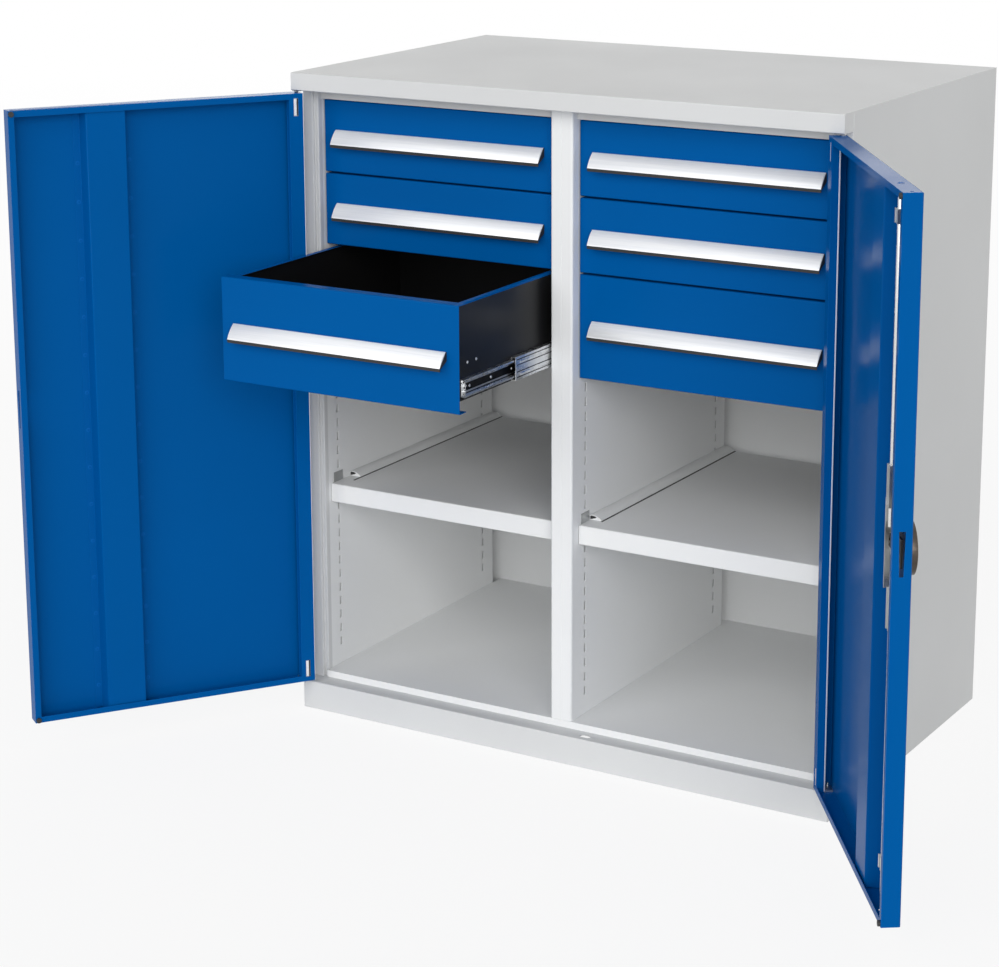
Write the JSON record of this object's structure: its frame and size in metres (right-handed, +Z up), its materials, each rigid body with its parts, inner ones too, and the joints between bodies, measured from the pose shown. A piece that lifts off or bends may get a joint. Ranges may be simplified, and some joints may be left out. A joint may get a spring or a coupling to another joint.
{
  "type": "heavy-duty storage cabinet",
  "caption": "Low sheet-steel cabinet with two hinged doors on a rod lock, drawers on telescopic runners in both bays, and shelves on clips below them.",
  "frame": {"origin": "centre of the base on the floor, midway between the two sides and between the lid's front face and the back", "axes": "+X to the right as one faces the doors, +Y to the back, +Z up"},
  "size_m": [1.566, 1.04, 1.12],
  "materials": {
    "grey_paint": "textured powder coat, satin light grey",
    "grey_inside": "powder coat, satin light grey, inside faces",
    "blue_paint": "powder coat, semi-gloss gentian blue",
    "black_paint": "powder coat, semi-gloss black",
    "handle_aluminium": "fine satin, clear anodised",
    "runner_zinc": "bright zinc plate",
    "zinc": "zinc plate, dull",
    "rod_steel": "drawn bright steel",
    "knob_bronze": "brown bronze lacquer on die casting",
    "cylinder_nickel": "nickel plate",
    "black_steel": "black oxide on steel",
    "buffer_rubber": "matt"
  },
  "bodies": {
    "case": {"top_panel": "grey_paint", "left_side_panel": "grey_paint", "right_side_panel": "grey_paint", "left_slotted_liner": "grey_inside", "right_slotted_liner": "grey_inside", "back_panel": "grey_inside", "floor_panel": "grey_inside", "plinth": "grey_paint", "centre_partition": "grey_inside", "top_front_rails": "grey_paint", "left_shelf": "grey_inside", "right_shelf": "grey_inside", "shelf_clips": "zinc", "fixed_rails": "runner_zinc", "hinge_pins": "zinc"},
    "left_door": {"left_door_panel": "blue_paint", "left_door_stiffener": "blue_paint", "left_door_hinge_plates": "zinc", "left_door_buffers": "buffer_rubber"},
    "right_door": {"right_door_panel": "blue_paint", "right_door_stiffener": "blue_paint", "right_door_hinge_plates": "zinc", "right_door_buffers": "buffer_rubber", "rod_guides": "zinc", "lock_case": "zinc"},
    "rotary_handle": {"rotary_handle": "knob_bronze"},
    "lock_cylinder": {"lock_cylinder": "cylinder_nickel"},
    "upper_lock_rod": {"upper_lock_rod": "rod_steel"},
    "lower_lock_rod": {"lower_lock_rod": "rod_steel"},
    "latch_bolt": {"latch_bolt": "black_steel"},
    "left_drawer_3": {"left_drawer_3_box": "black_paint", "left_drawer_3_front": "blue_paint", "left_drawer_3_handle": "handle_aluminium", "left_drawer_3_rails": "runner_zinc"},
    "left_middle_rails_3": {"left_drawer_3_middle_rails": "runner_zinc"},
    "left_drawer_2": {"left_drawer_2_box": "black_paint", "left_drawer_2_front": "blue_paint", "left_drawer_2_handle": "handle_aluminium", "left_drawer_2_rails": "runner_zinc"},
    "left_middle_rails_2": {"left_drawer_2_middle_rails": "runner_zinc"},
    "left_drawer_1": {"left_drawer_1_box": "black_paint", "left_drawer_1_front": "blue_paint", "left_drawer_1_handle": "handle_aluminium", "left_drawer_1_rails": "runner_zinc"},
    "left_middle_rails_1": {"left_drawer_1_middle_rails": "runner_zinc"},
    "right_drawer_3": {"right_drawer_3_box": "black_paint", "right_drawer_3_front": "blue_paint", "right_drawer_3_handle": "handle_aluminium", "right_drawer_3_rails": "runner_zinc"},
    "right_middle_rails_3": {"right_drawer_3_middle_rails": "runner_zinc"},
    "right_drawer_2": {"right_drawer_2_box": "black_paint", "right_drawer_2_front": "blue_paint", "right_drawer_2_handle": "handle_aluminium", "right_drawer_2_rails": "runner_zinc"},
    "right_middle_rails_2": {"right_drawer_2_middle_rails": "runner_zinc"},
    "right_drawer_1": {"right_drawer_1_box": "black_paint", "right_drawer_1_front": "blue_paint", "right_drawer_1_handle": "handle_aluminium", "right_drawer_1_rails": "runner_zinc"},
    "right_middle_rails_1": {"right_drawer_1_middle_rails": "runner_zinc"}
  },
  "joints": [
    {"name": "right_door_hinge", "type": "hinge", "parent": "case", "child": "right_door", "pos_m": [0.495, -0.307, 0.5705], "axis": [0, 0, 1], "range_deg": [-125, 55]},
    {"name": "left_door_hinge", "type": "hinge", "parent": "case", "child": "left_door", "pos_m": [-0.495, -0.307, 0.5705], "axis": [0, 0, -1], "range_deg": [-35, 55]},
    {"name": "handle_turn", "type": "hinge", "parent": "right_door", "child": "rotary_handle", "pos_m": [0.74762, -0.65383, 0.585], "axis": [-0.8192, -0.5736, 0], "range_deg": [-90, 0]},
    {"name": "cylinder_turn", "type": "hinge", "parent": "rotary_handle", "child": "lock_cylinder", "pos_m": [0.74762, -0.65383, 0.585], "axis": [-0.8192, -0.5736, 0], "range_deg": [0, 90]},
    {"name": "upper_rod_slide", "type": "slide", "parent": "right_door", "child": "upper_lock_rod", "axis": [0, 0, 1], "range_m": [0, 0.018]},
    {"name": "lower_rod_slide", "type": "slide", "parent": "right_door", "child": "lower_lock_rod", "axis": [0, 0, -1], "range_m": [0, 0.018]},
    {"name": "latch_slide", "type": "slide", "parent": "right_door", "child": "latch_bolt", "axis": [0.5736, -0.8192, 0], "range_m": [0, 0.012]},
    {"name": "left_drawer_3_slide", "type": "slide", "parent": "case", "child": "left_drawer_3", "axis": [0, -1, 0], "range_m": [-0.3, 0.2]},
    {"name": "left_middle_rails_3_slide", "type": "slide", "parent": "case", "child": "left_middle_rails_3", "axis": [0, -1, 0], "range_m": [-0.15, 0.1]},
    {"name": "left_drawer_2_slide", "type": "slide", "parent": "case", "child": "left_drawer_2", "axis": [0, -1, 0], "range_m": [0, 0.5]},
    {"name": "left_middle_rails_2_slide", "type": "slide", "parent": "case", "child": "left_middle_rails_2", "axis": [0, -1, 0], "range_m": [0, 0.25]},
    {"name": "left_drawer_1_slide", "type": "slide", "parent": "case", "child": "left_drawer_1", "axis": [0, -1, 0], "range_m": [0, 0.5]},
    {"name": "left_middle_rails_1_slide", "type": "slide", "parent": "case", "child": "left_middle_rails_1", "axis": [0, -1, 0], "range_m": [0, 0.25]},
    {"name": "right_drawer_3_slide", "type": "slide", "parent": "case", "child": "right_drawer_3", "axis": [0, -1, 0], "range_m": [0, 0.5]},
    {"name": "right_middle_rails_3_slide", "type": "slide", "parent": "case", "child": "right_middle_rails_3", "axis": [0, -1, 0], "range_m": [0, 0.25]},
    {"name": "right_drawer_2_slide", "type": "slide", "parent": "case", "child": "right_drawer_2", "axis": [0, -1, 0], "range_m": [0, 0.5]},
    {"name": "right_middle_rails_2_slide", "type": "slide", "parent": "case", "child": "right_middle_rails_2", "axis": [0, -1, 0], "range_m": [0, 0.25]},
    {"name": "right_drawer_1_slide", "type": "slide", "parent": "case", "child": "right_drawer_1", "axis": [0, -1, 0], "range_m": [0, 0.5]},
    {"name": "right_middle_rails_1_slide", "type": "slide", "parent": "case", "child": "right_middle_rails_1", "axis": [0, -1, 0], "range_m": [0, 0.25]}
  ],
  "couplings": [
    {"joint": "upper_rod_slide", "follows": "handle_turn", "m_per_rad": -0.011459},
    {"joint": "lower_rod_slide", "follows": "handle_turn", "m_per_rad": -0.011459},
    {"joint": "latch_slide", "follows": "handle_turn", "m_per_rad": -0.0076394},
    {"joint": "left_middle_rails_3_slide", "follows": "left_drawer_3_slide", "ratio": 0.5},
    {"joint": "left_middle_rails_2_slide", "follows": "left_drawer_2_slide", "ratio": 0.5},
    {"joint": "left_middle_rails_1_slide", "follows": "left_drawer_1_slide", "ratio": 0.5},
    {"joint": "right_middle_rails_3_slide", "follows": "right_drawer_3_slide", "ratio": 0.5},
    {"joint": "right_middle_rails_2_slide", "follows": "right_drawer_2_slide", "ratio": 0.5},
    {"joint": "right_middle_rails_1_slide", "follows": "right_drawer_1_slide", "ratio": 0.5}
  ]
}
